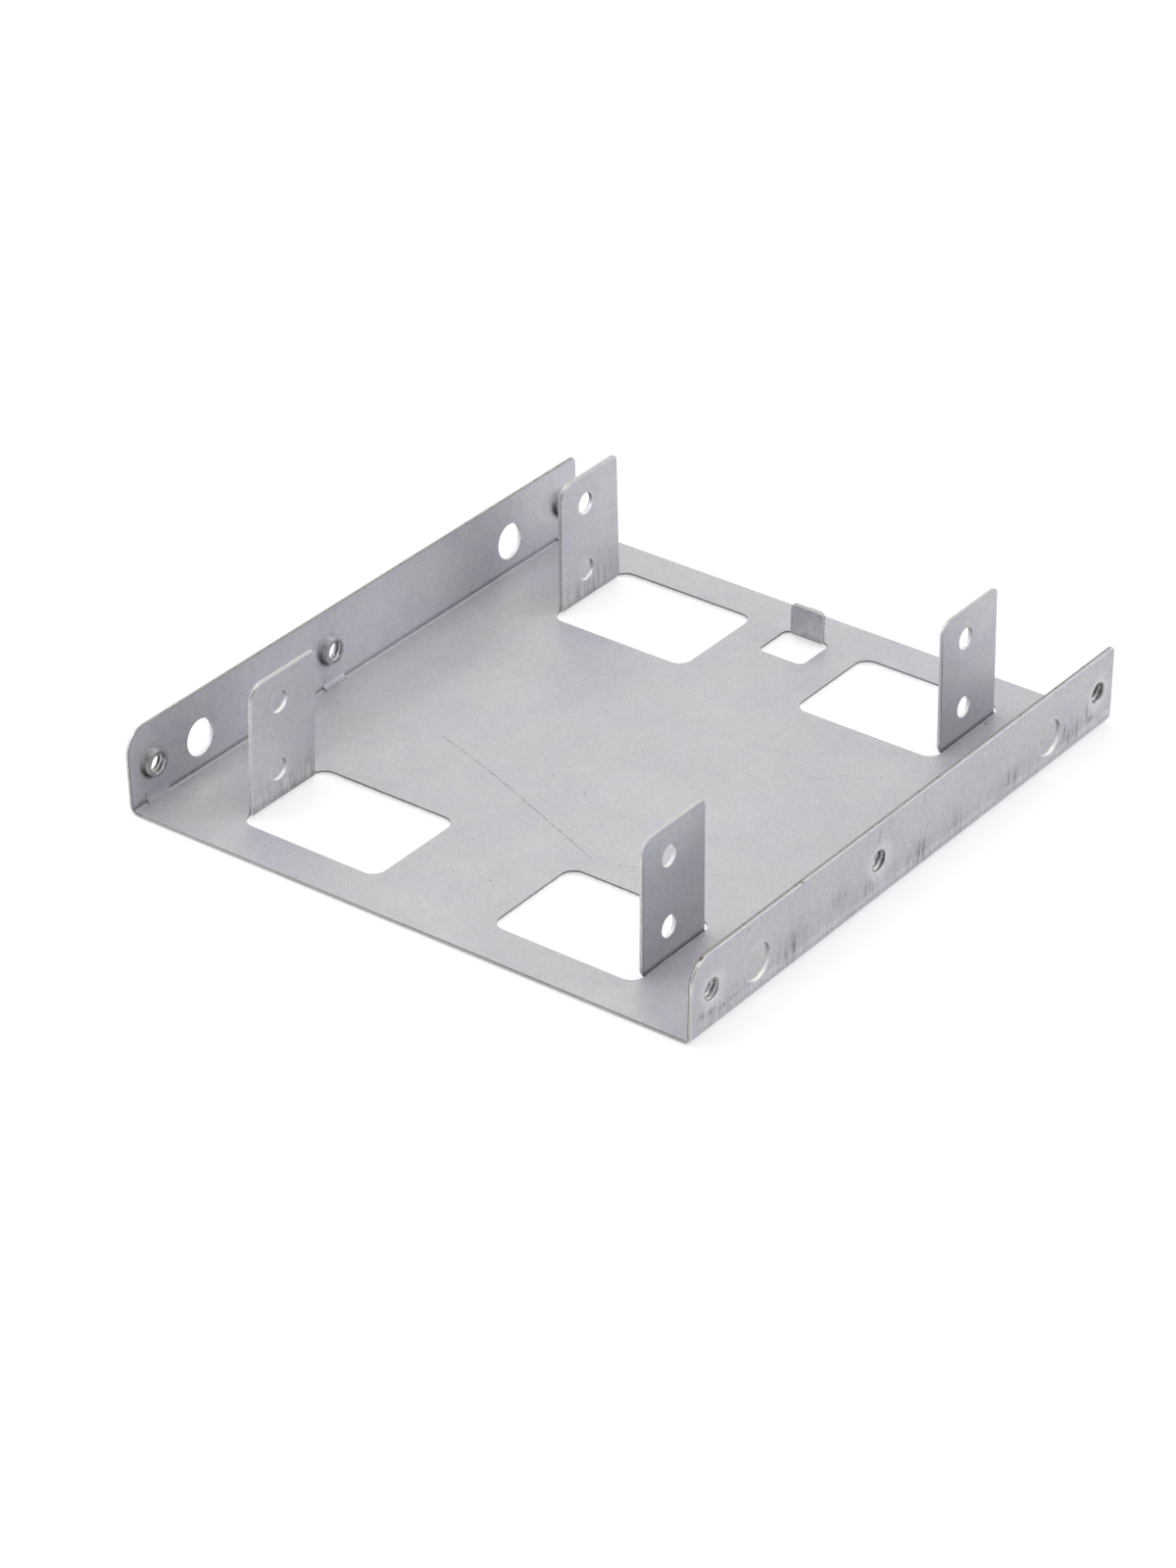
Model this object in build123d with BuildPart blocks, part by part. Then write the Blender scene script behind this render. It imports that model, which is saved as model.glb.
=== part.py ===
"""Drive bay adapter bracket, folded from one sheet of zinc coated steel.

The tray takes the place of a wide drive in its bay: its two side flanges carry the bay's
three screw positions a side. Four tabs bent up from windows in the tray's floor hold two
narrow drives, one above the other. The front of the tray is toward -Y, up is +Z, and the
origin is on the floor's underside at the middle of the tray. All lengths in millimetres.
"""
import os
from collections import Counter

from build123d import *

os.makedirs("parts", exist_ok=True)

# The sheet and how it is bent
sheet = 0.7
outer_bend = 1.6        # outside radius of every fold
coined_bend = 0.3       # inside radius where the bending punch bears hard
relaxed_bend = 0.9      # inside radius beside the collars, where the punch is relieved
roll_over = 0.12        # edge broken by shearing, all along the outside skin

# The bay: side screws of a wide drive
bay_width = 101.6
bay_hole_span = 101.6   # first screw to last
bay_hole_middle = 41.6  # first screw to middle one
bay_thread = 3.5        # major diameter of the number 6 screw

# The narrow drives: two of them, held by their side screws
drive_width = 69.85
drive_play = 0.15       # between a drive's side and the tab beside it
drive_hole_span = 76.6
drive_pitch = 11.7      # height from one drive to the next
drive_screw_clearance = 3.6

# The tray
front_margin = 5.0      # front edge to first bay screw
rear_margin = 3.8       # last bay screw to rear edge
tray_length = front_margin + bay_hole_span + rear_margin
flange_height = 13.4
flange_front_corner = 4.0
flange_rear_corner = 0.8

# Threaded collars, drawn inward out of the flanges
thread_height = 6.9
bore_radius = bay_thread / 2
collar_height = 1.25    # above the flange's inner face
collar_wall = 0.35      # at the free end
collar_taper = 0.05     # how much wider the root is than the free end
collar_root = 0.1       # slope where the collar meets the flange
inlet_slope = 0.12      # slope where the sheet turns into the bore
dish_depth = 0.2        # how far the sheet around the mouth is drawn in
dish_radius = 3.2
punch_relief = 2.5      # half the stretch of fold left soft beside each collar
relief_lag = 0.6        # how far that stretch's middle is behind the collar's

# Upright tabs
tab_face = drive_width / 2 + drive_play
tab_height = 22.5
tab_length = 14.9
tab_front_corner = 2.4
tab_rear_corner = 0.9
drive_lead = 1.0        # how far the drive holes' middle is ahead of the tray's middle
lower_hole_height = 5.8
upper_hole_height = lower_hole_height + drive_pitch
tab_lead = 1.1          # how far the tab's middle is behind its holes

# Windows the tabs are bent from
window_inner = 10.4     # from the tray's centre line
window_relief = 2.2     # floor cleared in front of and behind a tab
window_corner = 2.3
slot_reach = 0.8        # how far the cleared floor runs past the tab's face
window_outer = tab_face + slot_reach
window_length = tab_length + 2 * window_relief
window_width = window_outer - window_inner

# Screwdriver holes in the flanges, in line with the tabs' lower holes
access_hole = 6.0

# The small stop and its window
stop_setback = 7.9      # stop's front face to the rear edge
stop_width = 6.0
stop_height = 6.1
stop_corner = 0.8
stop_window_side = 1.15  # floor cleared at each side of the stop
stop_window_front = 7.2  # floor cleared in front of the stop
stop_window_corner = 1.2
stop_window_width = stop_width + 2 * stop_window_side
stop_window_length = stop_window_front + slot_reach


def from_front(distance):
    """Y of a point that far behind the tray's front edge."""
    return distance - tray_length / 2


def rim(skin):
    """Edges round the outside of a run of faces that join one another, lowest first."""
    uses = Counter(edge for face in skin for edge in face.outer_wire().edges())
    return ShapeList(edge for edge, count in uses.items() if count == 1).sort_by(Axis.Z)


def lowest_rounds(solid, count):
    """The solid's lowest cylindrical faces, which are its outside folds."""
    return solid.faces().filter_by(GeomType.CYLINDER).sort_by(Axis.Z)[:count]


thread_rows = [front_margin, front_margin + bay_hole_middle, front_margin + bay_hole_span]
drive_middle = tray_length / 2 - drive_lead
drive_rows = [drive_middle - drive_hole_span / 2, drive_middle + drive_hole_span / 2]
stop_y = from_front(tray_length - stop_setback)

# One tab of the left side: its drive face is the plane x = 0 and its holes are at y = 0
with BuildPart() as left_tab:
    with BuildSketch(Plane.XZ.offset(-tab_lead)):
        with BuildLine():
            outside = CenterArc((-outer_bend, outer_bend), outer_bend, -90, 90)
            inside = CenterArc(
                (-sheet - coined_bend, sheet + coined_bend), coined_bend, 0, -90
            )
            Polyline(outside @ 1, (0, tab_height), (-sheet, tab_height), inside @ 0)
            Polyline(inside @ 1, (-outer_bend, sheet), outside @ 0)
        make_face()
    extrude(amount=tab_length / 2, both=True)
    top_corners = left_tab.edges().filter_by(Axis.X).group_by(Axis.Z)[-1].sort_by(Axis.Y)
    fillet(top_corners[0], tab_front_corner)
    top_corners = left_tab.edges().filter_by(Axis.X).group_by(Axis.Z)[-1].sort_by(Axis.Y)
    fillet(top_corners[-1], tab_rear_corner)
    # The lowest edge of the skin isn't broken: there the fold goes on into the floor
    drive_side = left_tab.faces().sort_by(Axis.X)[-1]
    chamfer(rim([drive_side] + lowest_rounds(left_tab, 1))[1:], roll_over)
    with BuildSketch(Plane.YZ):
        with Locations((0, lower_hole_height), (0, upper_hole_height)):
            Circle(drive_screw_clearance / 2)
    extrude(amount=-sheet, mode=Mode.SUBTRACT)

with BuildPart() as right_tab:
    mirror(left_tab.part, about=Plane.YZ)

# The stop: its front face is the plane y = 0
with BuildPart() as stop:
    with BuildSketch(Plane.YZ):
        with BuildLine():
            outside = CenterArc((outer_bend, outer_bend), outer_bend, -90, -90)
            inside = CenterArc(
                (sheet + coined_bend, sheet + coined_bend), coined_bend, 180, 90
            )
            Polyline(outside @ 1, (0, stop_height), (sheet, stop_height), inside @ 0)
            Polyline(inside @ 1, (outer_bend, sheet), outside @ 0)
        make_face()
    extrude(amount=stop_width / 2, both=True)
    fillet(stop.edges().filter_by(Axis.Y).group_by(Axis.Z)[-1], stop_corner)
    front_side = stop.faces().sort_by(Axis.Y)[0]
    chamfer(rim([front_side] + lowest_rounds(stop, 1))[1:], roll_over)

# A collar about the Z axis: the flange's inner face is the plane z = 0
collar_radius = bore_radius + collar_wall
with BuildPart() as collar:
    with BuildSketch(Plane.XZ):
        with BuildLine():
            root = collar_radius + collar_taper
            foot = root + collar_root
            Polyline(
                (0, -sheet),
                (foot, -sheet),
                (foot, 0),
                (root, collar_root),
                (collar_radius, collar_height),
                (0, collar_height),
                close=True,
            )
        make_face()
    revolve(axis=Axis.Z)

# What the tap and the drawing punch leave open: dished mouth, sloped inlet and bore
with BuildPart() as bore:
    with BuildSketch(Plane.XZ):
        with BuildLine():
            mouth = bore_radius + inlet_slope
            dished = dish_depth - sheet
            middle = (mouth + dish_radius) / 2
            Bezier(
                (mouth, dished), (middle, dished), (middle, -sheet), (dish_radius, -sheet)
            )
            Polyline(
                (dish_radius, -sheet),
                (0, -sheet),
                (0, collar_height),
                (bore_radius, collar_height),
                (bore_radius, dished + inlet_slope),
                (mouth, dished),
            )
        make_face()
    revolve(axis=Axis.Z)

with BuildPart() as bracket:
    # Floor and flanges, one U section with the folds left soft
    with BuildSketch(Plane.XZ) as section:
        with Locations((0, flange_height / 2)):
            Rectangle(bay_width, flange_height)
        fillet(section.vertices().group_by(Axis.Y)[0], outer_bend)
        with BuildSketch(Plane.XY, mode=Mode.SUBTRACT) as hollow:
            with Locations((0, sheet + flange_height / 2)):
                Rectangle(bay_width - 2 * sheet, flange_height)
            fillet(hollow.vertices().group_by(Axis.Y)[0], relaxed_bend)
    extrude(amount=tray_length / 2, both=True)

    # Rounded corners of the flanges
    top_corners = bracket.edges().filter_by(Axis.X).group_by(Axis.Z)[-1]
    fillet(top_corners.group_by(Axis.Y)[0], flange_front_corner)
    top_corners = bracket.edges().filter_by(Axis.X).group_by(Axis.Z)[-1]
    fillet(top_corners.group_by(Axis.Y)[-1], flange_rear_corner)

    # The edge that shearing breaks, all round the outside skin
    floor_and_sides = [
        bracket.faces().sort_by(Axis.Z)[0],
        bracket.faces().sort_by(Axis.X)[0],
        bracket.faces().sort_by(Axis.X)[-1],
    ]
    chamfer(rim(floor_and_sides + lowest_rounds(bracket, 2)), roll_over)

    # Folds struck sharp between the collars
    stretches = [0]
    for row in thread_rows:
        relief_middle = row + relief_lag
        stretches += [relief_middle - punch_relief, relief_middle + punch_relief]
    stretches.append(tray_length)
    for start, end in zip(stretches[::2], stretches[1::2]):
        with BuildSketch(Plane.XZ.offset(-from_front(start))) as strike:
            with Locations((0, sheet + relaxed_bend / 2)):
                Rectangle(bay_width - 2 * sheet, relaxed_bend)
            fillet(strike.vertices().group_by(Axis.Y)[0], coined_bend)
        extrude(amount=start - end, mode=Mode.SUBTRACT)

    # Windows in the floor, each with the slot its tab's fold starts from
    with BuildSketch():
        for row in drive_rows:
            for side in (-1, 1):
                middle = from_front(row) + tab_lead
                with Locations((side * (window_inner + window_outer) / 2, middle)):
                    RectangleRounded(window_width, window_length, window_corner)
                with Locations((side * (tab_face + outer_bend / 2), middle)):
                    Rectangle(outer_bend, tab_length)
        with Locations((0, stop_y + slot_reach - stop_window_length / 2)):
            RectangleRounded(stop_window_width, stop_window_length, stop_window_corner)
        with Locations((0, stop_y + outer_bend / 2)):
            Rectangle(stop_width, outer_bend)
    extrude(amount=sheet, mode=Mode.SUBTRACT)

    # Tabs and stop
    for row in drive_rows:
        with Locations((-tab_face, from_front(row), 0)):
            add(left_tab.part)
        with Locations((tab_face, from_front(row), 0)):
            add(right_tab.part)
    with Locations((0, stop_y, 0)):
        add(stop.part)

    # Collars and their bores, then the screwdriver holes
    for side in (-1, 1):
        for row in thread_rows:
            inner_face = side * (bay_width / 2 - sheet)
            seat = Plane((inner_face, from_front(row), thread_height), z_dir=(-side, 0, 0))
            with Locations(seat):
                add(collar.part)
                add(bore.part, mode=Mode.SUBTRACT)
        for row in drive_rows:
            outer_face = side * bay_width / 2
            spot = Plane((outer_face, from_front(row), lower_hole_height), z_dir=(side, 0, 0))
            with Locations(spot):
                Hole(access_hole / 2, depth=sheet)

bracket.part.label = "bracket"
export_step(bracket.part, "parts/bracket.step")
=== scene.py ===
import math

import bmesh
import bpy
from mathutils import Euler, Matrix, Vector


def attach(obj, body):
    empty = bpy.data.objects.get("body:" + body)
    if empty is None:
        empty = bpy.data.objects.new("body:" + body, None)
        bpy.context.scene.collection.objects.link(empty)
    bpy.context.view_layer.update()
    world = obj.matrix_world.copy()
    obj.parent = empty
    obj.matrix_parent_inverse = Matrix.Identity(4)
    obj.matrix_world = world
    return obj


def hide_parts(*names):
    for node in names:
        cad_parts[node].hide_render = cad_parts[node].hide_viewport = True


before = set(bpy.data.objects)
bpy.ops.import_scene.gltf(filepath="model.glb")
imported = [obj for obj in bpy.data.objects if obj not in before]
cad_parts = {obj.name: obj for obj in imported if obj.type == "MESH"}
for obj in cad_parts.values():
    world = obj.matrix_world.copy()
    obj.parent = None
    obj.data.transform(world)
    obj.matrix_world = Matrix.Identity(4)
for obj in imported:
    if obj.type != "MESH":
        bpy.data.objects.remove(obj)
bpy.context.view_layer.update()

# The view: the photograph's, from the bracket's front right and above, through a long lens that
# keeps the tray's edges nearly parallel.
camera_data = bpy.data.cameras.new("camera")
camera_data.sensor_fit = "VERTICAL"
camera_data.sensor_height = 36
camera_data.lens = 118.85
camera = bpy.data.objects.new("camera", camera_data)
camera.location = (0.38654, -0.54181, 0.40185)
camera.rotation_euler = Euler([math.radians(turn) for turn in (58.688, -0.507, 36.328)])
bpy.context.collection.objects.link(camera)
bpy.context.scene.camera = camera

# The studio: a white paper table under one large warm overhead panel, with weaker panels on six
# sides at half its height. Nothing in it is part of the bracket.
bpy.context.scene.view_settings.view_transform = "Standard"
studio_air = bpy.data.worlds.new("studio_air")
studio_air.use_nodes = True
studio_air.node_tree.nodes["Background"].inputs["Strength"].default_value = 0
bpy.context.scene.world = studio_air


def soft_panel(name, place, width, power, tint):
    """A square light panel that faces the bracket."""
    data = bpy.data.lights.new(name, "AREA")
    data.shape = "SQUARE"
    data.size = width
    data.energy = power
    data.color = tint
    panel = bpy.data.objects.new(name, data)
    panel.location = place
    panel.rotation_euler = (-Vector(place)).to_track_quat("-Z", "Y").to_euler()
    bpy.context.collection.objects.link(panel)


overhead_height = 1.0
overhead_width = 1.0
side_reach = 1.0
side_height = 0.5
side_width = 0.8
soft_panel("overhead_panel", (0, 0, overhead_height), overhead_width, 8.1, (1.0, 1.0, 0.93))
for side_name, bearing, power, tint in (
    ("right_panel", 0, 3.8, (0.90, 0.90, 1.0)),
    ("right_rear_panel", 45, 4.7, (0.90, 0.91, 1.0)),
    ("rear_panel", 90, 2.2, (0.75, 0.72, 1.0)),
    ("left_rear_panel", 135, 2.6, (1.0, 1.0, 0.92)),
    ("left_panel", 180, 4.9, (0.86, 0.88, 1.0)),
    ("left_front_panel", 225, 4.6, (0.82, 0.80, 1.0)),
):
    turn = math.radians(bearing)
    panel_place = (side_reach * math.cos(turn), side_reach * math.sin(turn), side_height)
    soft_panel(side_name, panel_place, side_width, power, tint)

table_width = 6
table_drop = 0.00005  # keeps the paper clear of the bracket's underside
bpy.ops.mesh.primitive_plane_add(size=table_width, location=(0, 0, -table_drop))
table_top = bpy.context.object
table_top.name = "table_top"
paper = bpy.data.materials.new("white_paper")
paper.use_nodes = True
paper_shader = paper.node_tree.nodes["Principled BSDF"]
paper_shader.inputs["Base Color"].default_value = (0.42, 0.42, 0.42, 1)
paper_shader.inputs["Roughness"].default_value = 0.9
paper_shader.inputs["Emission Color"].default_value = (1, 1, 1, 1)
paper_shader.inputs["Emission Strength"].default_value = 0.58
table_top.data.materials.append(paper)

# The folded sheet: one blank of 0.7 mm zinc coated steel, pierced, its six screw collars drawn
# and its flanges, tabs and stop folded up over a die. It takes the solid's own shape, and leans
# where the folds have sprung back.
MM = 0.001
sheet = 0.7
outer_bend = 1.6
half_width = 50.8
flange_top = 13.4
tab_face = 35.075
tab_half_length = 7.45
tab_middles = (-38.2, 38.4)
stop_face = 47.3
stop_half_width = 3.0
thread_rows = (-50.2, -8.6, 51.4)
thread_height = 6.9
bore_radius = 1.75
dish_radius = 3.2
collar_end = 1.25
relief_lag = 0.6
drive_rows = (-39.3, 37.3)
drive_heights = (5.8, 17.5)
drive_hole_radius = 1.8
access_hole_radius = 3.0
rim_depth = 0.13  # how far the rolled-over rim reaches in from the outside skin
slack = 0.02  # how near a point has to be to count as on a face
skin_clear = 0.05  # how far a point of a dished mouth is at least from the inside skin
floor_clear = 0.5  # off the uprights, a point farther above the floor is on a collar's end
skin_band = 0.03  # share of the sheet at either skin that still counts as the rolled face
weld = 0.002  # points nearer one another than this are one


def distance_to_bore(place):
    """How far a point is from the nearest screw bore's axis, seen from the side."""
    return min(math.hypot(place.y - row, place.z - thread_height) for row in thread_rows)


def depth_in_sheet(place):
    """How far a point of the sheet is from its outside skin: the floor's underside, the
    flanges' outer faces and the tabs' drive faces are one skin."""
    side = abs(place.x)
    by_tab = min(abs(place.y - middle) for middle in tab_middles) < tab_half_length + slack
    by_stop = side < stop_half_width + slack
    if by_tab and tab_face - slack < side < tab_face + outer_bend + slack:
        if place.z > outer_bend:
            return side - tab_face
        return outer_bend - math.hypot(tab_face + outer_bend - side, outer_bend - place.z)
    if by_stop and stop_face - slack < place.y < stop_face + outer_bend + slack:
        if place.z > outer_bend:
            return place.y - stop_face
        return outer_bend - math.hypot(stop_face + outer_bend - place.y, outer_bend - place.z)
    if side > half_width - outer_bend:
        if place.z > outer_bend:
            return half_width - side
        return outer_bend - math.hypot(side - half_width + outer_bend, outer_bend - place.z)
    if place.z > sheet + floor_clear:
        return sheet
    return place.z


folded = bmesh.new()
folded.from_mesh(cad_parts["bracket"].data)
bmesh.ops.remove_doubles(folded, verts=folded.verts, dist=weld * MM)
bmesh.ops.scale(folded, verts=folded.verts, vec=(1 / MM, 1 / MM, 1 / MM))
through_sheet = folded.verts.layers.float.new("through_sheet")
for point in folded.verts:
    in_dish = distance_to_bore(point.co) < dish_radius - slack
    if in_dish and abs(point.co.x) > half_width - sheet + skin_clear:
        point[through_sheet] = 0
    else:
        depth = depth_in_sheet(point.co)
        point[through_sheet] = max(depth / sheet, 0) if depth < rim_depth else 1


def in_plain_hole(place):
    """Whether a point is on the wall of a tab's screw hole or a flange's screwdriver hole."""
    on_tab = abs(place.x) < tab_face + outer_bend
    radius = drive_hole_radius if on_tab else access_hole_radius
    return any(
        math.hypot(place.y - row, place.z - height) < radius + slack
        for row in drive_rows
        for height in drive_heights
    )


ROLLED, SHEARED, TAPPED, PUNCHED = range(4)
for face in folded.faces:
    depths = [point[through_sheet] for point in face.verts]
    if max(distance_to_bore(point.co) for point in face.verts) < bore_radius + slack:
        face.material_index = TAPPED
    elif abs(face.normal.x) < 0.5 and all(in_plain_hole(point.co) for point in face.verts):
        face.material_index = PUNCHED
    elif max(depths) < skin_band or min(depths) > 1 - skin_band:
        face.material_index = ROLLED
    else:
        face.material_index = SHEARED

# A knock on the right flange's top rim has left a small nick with its burr turned up beside it.
nick_middle = -28.5
nick_sides = (-0.12, 0.1)
burr_tip = 0.3
nick_cuts = (-0.55, -0.3, *nick_sides, burr_tip)
nick_depth = 0.2
nick_push = 0.06
burr_rise = 0.1
burr_push = 0.05
rim_band = 0.2
outer_band = 0.3
at_cut = 0.01
top_faces = [
    face
    for face in folded.faces
    if face.calc_center_median().x > half_width - sheet - slack
    and max(point.co.z for point in face.verts) > flange_top - rim_band
]
for offset in nick_cuts:
    reached = set(top_faces)
    for face in top_faces:
        reached.update(face.edges)
        reached.update(face.verts)
    cut = bmesh.ops.bisect_plane(
        folded, geom=list(reached), plane_co=(0, nick_middle + offset, 0), plane_no=(0, 1, 0)
    )
    top_faces = [part for part in cut["geom"] if isinstance(part, bmesh.types.BMFace)]
for point in folded.verts:
    place = point.co
    if place.x > half_width - outer_band and place.z > flange_top - rim_band:
        offset = place.y - nick_middle
        if min(abs(offset - side) for side in nick_sides) < at_cut:
            place.z -= nick_depth
            place.x -= nick_push
        elif abs(offset - burr_tip) < at_cut:
            place.z += burr_rise
            place.x += burr_push

# Spring-back and handling have left each upright a little off square: a foot shifted sideways,
# then a lean in degrees that starts inside the fold. A tab's swing and twist are what its rear
# edge has more of either, and its front edge less.
fold_heart = 0.8
flange_shift = 0.05
flange_lean = 3.05
collar_zone = 2.2  # how far in from the fold the left flange's collars and threads reach
tab_set = (
    # side, row, shift, swing, lean, twist
    (-1, 0, -0.36, 0, 1.8, 0),
    (-1, 1, 0.05, 0.15, -1.7, -0.6),
    (1, 0, -0.1, 0, -0.9, 0),
    (1, 1, -0.1, 0, -1.4, 0),
)


def spring_back(place):
    """Moves a point of the squarely folded part to where it really stands."""
    rise = max(place.z - fold_heart, 0)
    foot = min(place.z / outer_bend, 1)
    if place.x < -half_width + outer_bend + collar_zone:
        place.x -= flange_shift * foot * foot + math.tan(math.radians(flange_lean)) * rise
    for side, row, shift, swing, lean, twist in tab_set:
        on_tab = tab_face - slack < side * place.x < tab_face + outer_bend + slack
        if on_tab and abs(place.y - tab_middles[row]) < tab_half_length + slack:
            rearward = (place.y - tab_middles[row]) / tab_half_length
            shift += swing * rearward
            lean += twist * rearward
            place.x += shift * foot * foot + math.tan(math.radians(lean)) * rise


for point in folded.verts:
    spring_back(point.co)

bmesh.ops.scale(folded, verts=folded.verts, vec=(MM, MM, MM))
sheet_mesh = bpy.data.meshes.new("folded_sheet")
folded.normal_update()
crisp_by_collar = 28  # degrees between two faces from which their edge looks sharp
crisp_elsewhere = 50
for face in folded.faces:
    face.smooth = True
for edge in folded.edges:
    by_collar = distance_to_bore(edge.verts[0].co / MM) < dish_radius
    crisp = crisp_by_collar if by_collar else crisp_elsewhere
    if len(edge.link_faces) == 2 and edge.calc_face_angle(0) > math.radians(crisp):
        edge.smooth = False
folded.to_mesh(sheet_mesh)
folded.free()
folded_sheet = bpy.data.objects.new("folded_sheet", sheet_mesh)
bpy.context.collection.objects.link(folded_sheet)
bpy.context.view_layer.objects.active = folded_sheet
flatten = folded_sheet.modifiers.new("faces_stay_flat", "WEIGHTED_NORMAL")
flatten.keep_sharp = True
flatten.weight = 100
bpy.ops.object.modifier_apply(modifier=flatten.name)
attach(folded_sheet, "root")
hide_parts("bracket")


def part_node(tree, kind, sources=None, **settings):
    """A shader node with its settings; each input is fed by a socket or holds a plain value."""
    made = tree.nodes.new(kind)
    for name, value in settings.items():
        setattr(made, name, value)
    for key, source in (sources or {}).items():
        if isinstance(source, bpy.types.NodeSocket):
            tree.links.new(source, made.inputs[key])
        else:
            made.inputs[key].default_value = source
    return made


def work_out(tree, operation, *values, clamp=False):
    """The result of one sum over sockets and plain numbers."""
    sources = dict(enumerate(values))
    made = part_node(tree, "ShaderNodeMath", sources, operation=operation, use_clamp=clamp)
    return made.outputs[0]


def vector_sum(tree, operation, first, second):
    """A node that works out a vector or a value from two vectors."""
    return part_node(tree, "ShaderNodeVectorMath", {0: first, 1: second}, operation=operation)


def scaled(tree, vector, factor):
    """A vector or a colour multiplied by one number."""
    sources = {0: vector, "Scale": factor}
    return part_node(tree, "ShaderNodeVectorMath", sources, operation="SCALE").outputs["Vector"]


def ramp(tree, value, low, high, from_value=0.0, to_value=1.0):
    """A soft step between two levels of a value."""
    sources = {
        "Value": value,
        "From Min": low,
        "From Max": high,
        "To Min": from_value,
        "To Max": to_value,
    }
    step = part_node(tree, "ShaderNodeMapRange", sources, interpolation_type="SMOOTHSTEP")
    return step.outputs["Result"]


def clouds(tree, place, fineness, detail, roughness):
    """Seamless noise, centred on zero, with the given number of cells to the millimetre."""
    sources = {"Vector": place, "Scale": fineness, "Detail": detail, "Roughness": roughness}
    noise = part_node(tree, "ShaderNodeTexNoise", sources)
    return work_out(tree, "SUBTRACT", noise.outputs["Fac"], 0.5)


def stretch(tree, place, along_x, along_y, along_z):
    """A place with its coordinates scaled, for marks that are longer one way."""
    return vector_sum(tree, "MULTIPLY", place, (along_x, along_y, along_z)).outputs["Vector"]


def blend(tree, share, below, above):
    """A colour part of the way from one to another."""
    sources = {0: share, 6: below, 7: above}
    return part_node(tree, "ShaderNodeMix", sources, data_type="RGBA").outputs[2]


def roughen(tree, shader, strength, depth, relief):
    """Feeds a height field, its depth in millimetres, to a shader as bump."""
    sources = {"Strength": strength, "Distance": depth * MM, "Height": relief}
    bump = part_node(tree, "ShaderNodeBump", sources)
    tree.links.new(bump.outputs["Normal"], shader.inputs["Normal"])


def effect(name, takes, gives):
    """An empty shader node group with named inputs and outputs, and its two end nodes."""
    group = bpy.data.node_groups.new(name, "ShaderNodeTree")
    for title, kind, value in takes:
        socket = group.interface.new_socket(title, in_out="INPUT", socket_type=kind)
        socket.default_value = value
    for title, kind in gives:
        group.interface.new_socket(title, in_out="OUTPUT", socket_type=kind)
    start = group.nodes.new("NodeGroupInput")
    end = group.nodes.new("NodeGroupOutput")
    return group, start, end


def use(tree, group, **values):
    """One placing of an effect, with its own values."""
    return part_node(tree, "ShaderNodeGroup", values, node_tree=group)


FLOAT = "NodeSocketFloat"
VECTOR = "NodeSocketVector"

# Effect: the place on the part in millimetres.
in_millimetres, start, end = effect("in millimetres", [], [("Place", VECTOR)])
place = part_node(in_millimetres, "ShaderNodeTexCoord").outputs["Object"]
in_millimetres.links.new(scaled(in_millimetres, place, 1 / MM), end.inputs["Place"])

# Effect: the zinc coat's grain, from crystals a third of a millimetre across up to thumb-sized
# drifts of tone, with cool patches where the coat is thicker.
zinc_grain, start, end = effect(
    "zinc grain",
    [("Place", VECTOR, (0, 0, 0)), ("Strength", FLOAT, 1)],
    [("Tone", FLOAT), ("Cool patch", FLOAT), ("Height", FLOAT)],
)
place = start.outputs["Place"]
crystals = clouds(zinc_grain, place, 3.1, 2, 0.6)
mottle = clouds(zinc_grain, place, 0.55, 3, 0.6)
drift = clouds(zinc_grain, place, 0.07, 2, 0.5)
tone = work_out(zinc_grain, "MULTIPLY", crystals, 0.5)
tone = work_out(zinc_grain, "MULTIPLY_ADD", mottle, 0.14, tone)
tone = work_out(zinc_grain, "MULTIPLY_ADD", drift, 0.12, tone)
tone = work_out(zinc_grain, "MULTIPLY_ADD", tone, start.outputs["Strength"], 1)
zinc_grain.links.new(tone, end.inputs["Tone"])
elsewhere = (31, 17, 5)  # so that the patches don't follow the grain
cool_place = vector_sum(zinc_grain, "ADD", place, elsewhere).outputs["Vector"]
broad_patches = clouds(zinc_grain, cool_place, 0.11, 3, 0.6)
small_patches = clouds(zinc_grain, cool_place, 0.9, 2, 0.6)
cool = work_out(zinc_grain, "MULTIPLY_ADD", small_patches, 0.9, broad_patches)
cool = ramp(zinc_grain, cool, -0.16, 0.24)
zinc_grain.links.new(cool, end.inputs["Cool patch"])
height = work_out(zinc_grain, "MULTIPLY_ADD", mottle, 1.5, crystals)
zinc_grain.links.new(height, end.inputs["Height"])


def new_finish(name, metallic, grain_strength=1.0):
    """A material for one finish, with its node tree, its shader, the place in millimetres and
    the coat's grain."""
    finish = bpy.data.materials.new(name)
    finish.use_nodes = True
    tree = finish.node_tree
    shader = tree.nodes["Principled BSDF"]
    shader.inputs["Metallic"].default_value = metallic
    place = use(tree, in_millimetres).outputs["Place"]
    grain = use(tree, zinc_grain, Place=place, Strength=grain_strength)
    return finish, tree, shader, place, grain


# Effect: a scored line between two points, ragged along its length.
scored_line, start, end = effect(
    "scored line",
    [
        ("Place", VECTOR, (0, 0, 0)),
        ("From", VECTOR, (0, 0, 0)),
        ("To", VECTOR, (1, 0, 0)),
        ("Width", FLOAT, 0.2),
        ("Wander", FLOAT, 0),
    ],
    [("Mask", FLOAT)],
)
line_place, line_from, line_to, line_width, line_wander = start.outputs[:5]
run = vector_sum(scored_line, "SUBTRACT", line_to, line_from).outputs["Vector"]
reach = vector_sum(scored_line, "SUBTRACT", line_place, line_from).outputs["Vector"]
over = vector_sum(scored_line, "DOT_PRODUCT", reach, run).outputs["Value"]
length_squared = vector_sum(scored_line, "DOT_PRODUCT", run, run).outputs["Value"]
share = work_out(scored_line, "DIVIDE", over, length_squared, clamp=True)
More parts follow.
